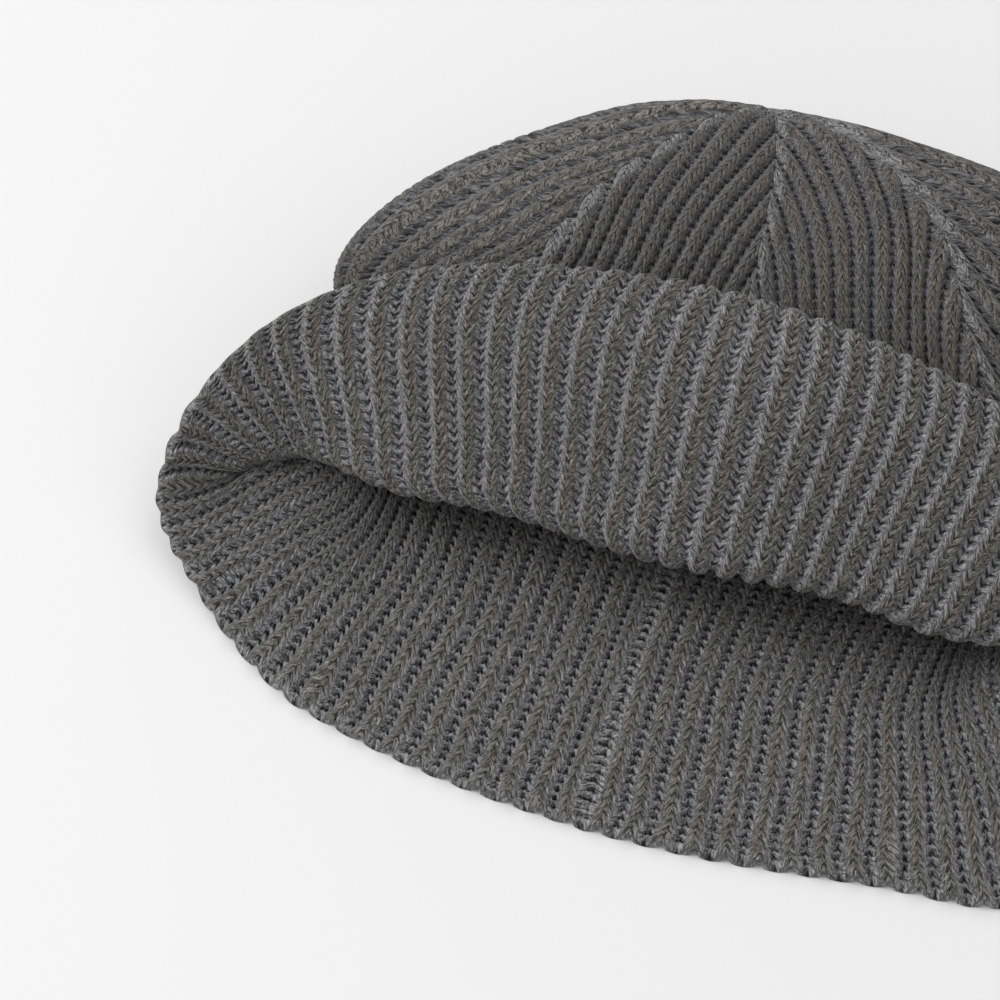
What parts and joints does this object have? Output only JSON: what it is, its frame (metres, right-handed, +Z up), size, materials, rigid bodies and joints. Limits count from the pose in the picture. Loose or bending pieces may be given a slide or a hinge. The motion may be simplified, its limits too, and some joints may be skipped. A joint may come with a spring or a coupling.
{
  "type": "rib-knit beanie",
  "caption": "Chunky rib-knit beanie lying on its back, with a turned-up front cuff and a crown gathered by mitred darts.",
  "frame": {"origin": "on the floor under the middle of the hat's box", "axes": "+Z up from the floor, +Y from the mouth to the crown, +X across the mouth with the crown's front up"},
  "size_m": [0.2425, 0.1798, 0.0672],
  "materials": {
    "crown_knit": "marled grey-brown wool rib knit",
    "cuff_knit": "marled grey-brown wool rib knit"
  },
  "bodies": {
    "root": {"crown": "crown_knit", "cuff": "cuff_knit"}
  },
  "joints": []
}
